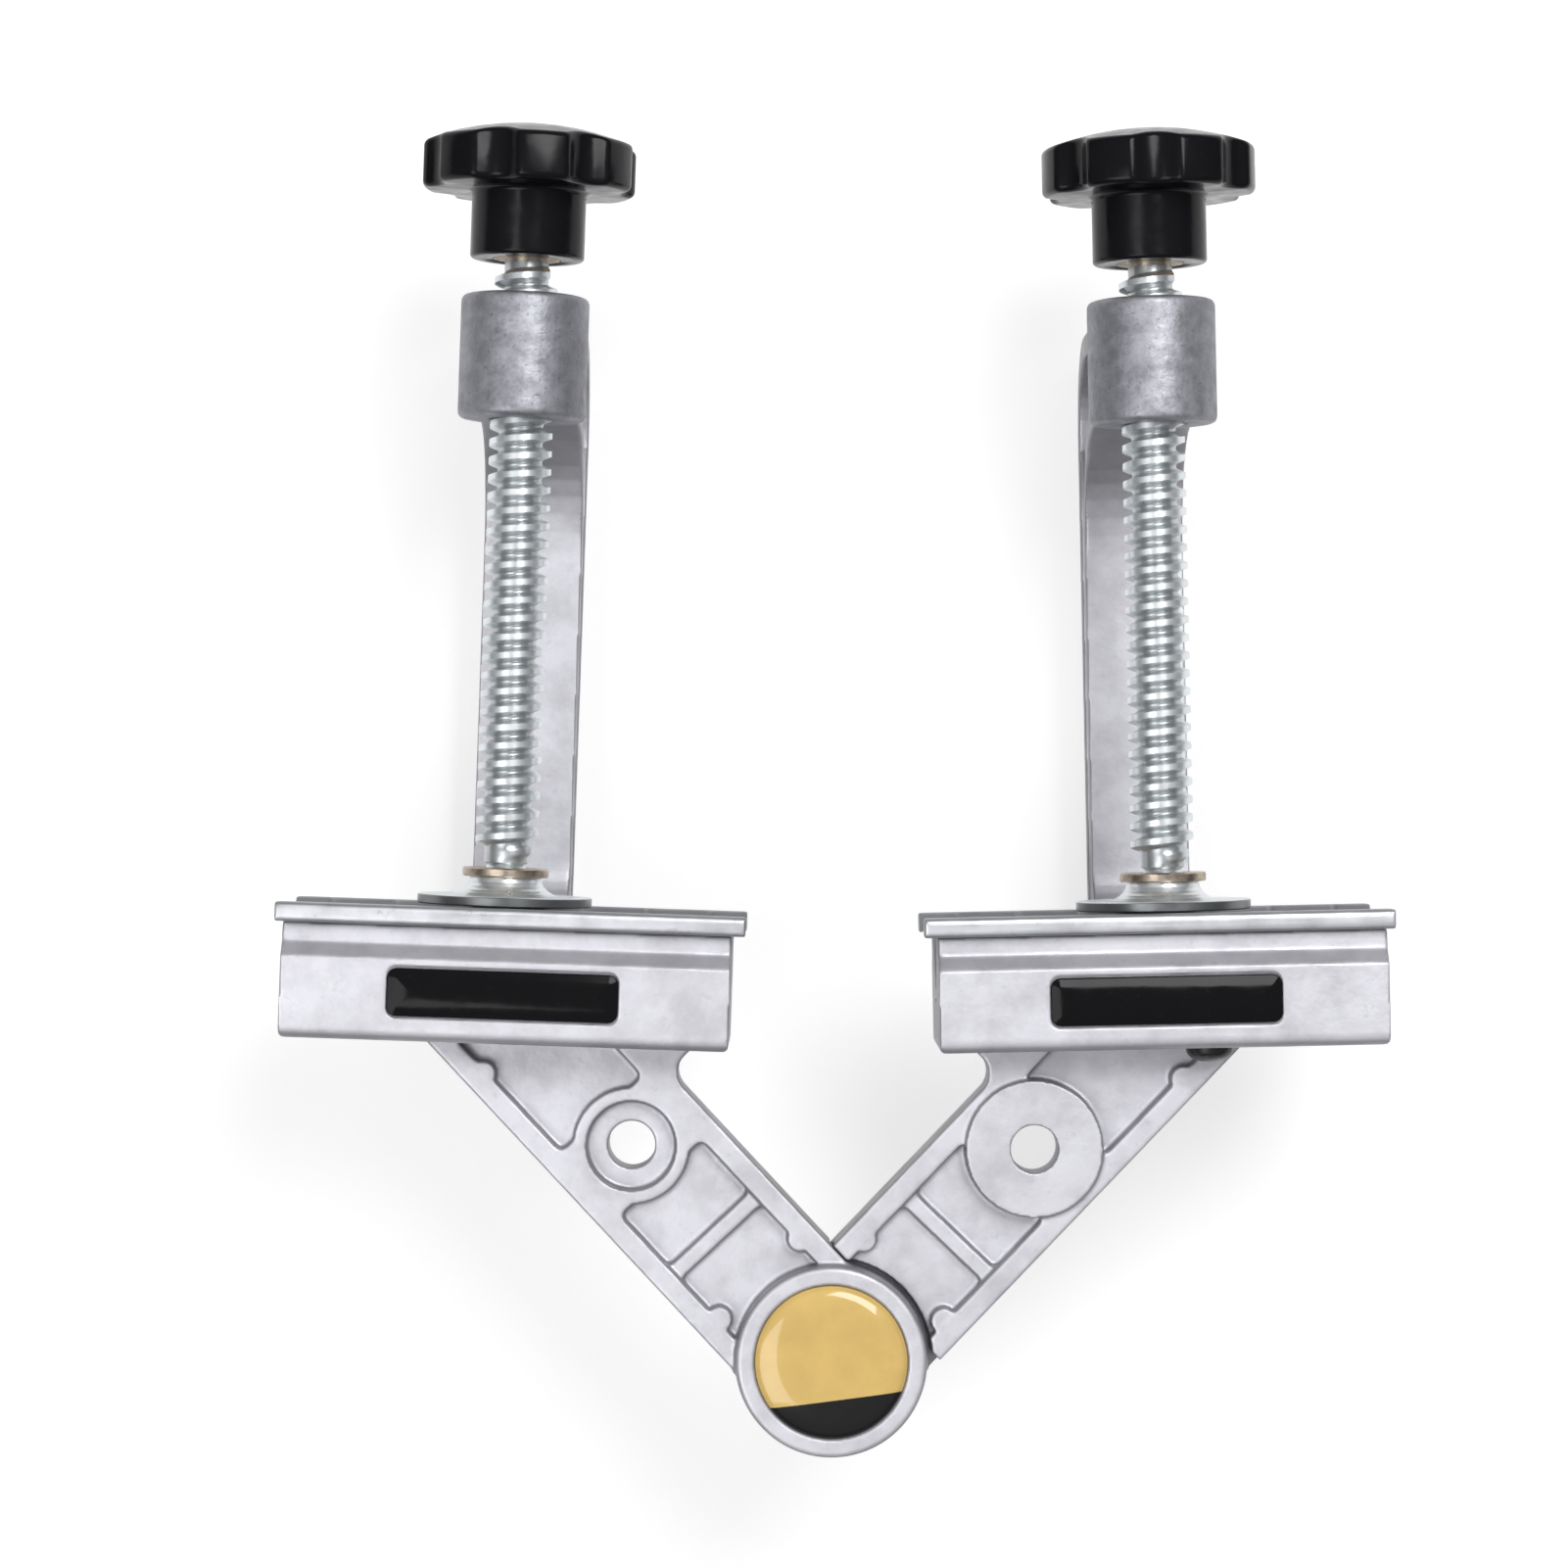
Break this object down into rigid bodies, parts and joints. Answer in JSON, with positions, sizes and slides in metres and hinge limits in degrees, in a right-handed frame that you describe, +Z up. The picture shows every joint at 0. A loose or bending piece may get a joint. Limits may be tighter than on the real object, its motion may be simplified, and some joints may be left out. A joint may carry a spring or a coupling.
{
  "type": "corner clamp",
  "caption": "Adjustable corner clamp: two C-shaped clamp halves with V jaws, screw spindles and swivel pads on ribbed arms that hinge on one pivot.",
  "frame": {"origin": "middle of the clamp's plan, on the surface that it lies on", "axes": "+Y towards the knobs, +Z up from the backs of the frames, +X towards the right-hand half"},
  "size_m": [0.2444, 0.295, 0.0997],
  "materials": {
    "cast": "as cast, satin",
    "plate_steel": "satin",
    "zinc_steel": "bright zinc plated",
    "ring_steel": "dull nickel plated",
    "knob_plastic": "glossy moulded",
    "insert_brass": "turned",
    "label_black": "glossy domed",
    "label_gold": "glossy domed, gold with a black segment",
    "screw_black": "black oxide",
    "washer_plastic": "plain"
  },
  "bodies": {
    "left_half": {"left_clamp_frame": "cast", "left_arm": "cast", "left_v_plate": "plate_steel", "left_jaw_label": "label_black", "left_arm_screw": "screw_black", "pivot_bolt": "zinc_steel", "pivot_nut": "zinc_steel", "pivot_washer_front": "zinc_steel", "pivot_washer_rear": "zinc_steel", "friction_washer": "washer_plastic", "pivot_label": "label_gold"},
    "right_half": {"right_clamp_frame": "cast", "right_arm": "cast", "right_v_plate": "plate_steel", "right_jaw_label": "label_black", "right_arm_screw": "screw_black"},
    "left_pad_unit": {"left_pad": "zinc_steel", "left_pad_ring": "ring_steel"},
    "right_pad_unit": {"right_pad": "zinc_steel", "right_pad_ring": "ring_steel"},
    "left_spindle_unit": {"left_spindle": "zinc_steel", "left_knob": "knob_plastic", "left_knob_insert": "insert_brass"},
    "right_spindle_unit": {"right_spindle": "zinc_steel", "right_knob": "knob_plastic", "right_knob_insert": "insert_brass"}
  },
  "joints": [
    {"name": "halves_hinge", "type": "hinge", "parent": "left_half", "child": "right_half", "pos_m": [0, -0.12562, 0.076], "axis": [0, 0, -1], "range_deg": [0, 180]},
    {"name": "left_pad_slide", "type": "slide", "parent": "left_half", "child": "left_pad_unit", "axis": [0.0279, 0.9996, 0], "range_m": [0, 0.096]},
    {"name": "left_spindle_turn", "type": "hinge", "parent": "left_pad_unit", "child": "left_spindle_unit", "pos_m": [-0.07178, 0.02644, 0.076], "axis": [0.0279, 0.9996, 0], "range_deg": [0, 8640]},
    {"name": "right_pad_slide", "type": "slide", "parent": "right_half", "child": "right_pad_unit", "axis": [-0.0279, 0.9996, 0], "range_m": [0, 0.096]},
    {"name": "right_spindle_turn", "type": "hinge", "parent": "right_pad_unit", "child": "right_spindle_unit", "pos_m": [0.07178, 0.02644, 0.076], "axis": [-0.0279, 0.9996, 0], "range_deg": [0, 8640]}
  ],
  "couplings": [
    {"joint": "left_spindle_turn", "follows": "left_pad_slide", "rad_per_m": 1570.8},
    {"joint": "right_spindle_turn", "follows": "right_pad_slide", "rad_per_m": 1570.8}
  ]
}
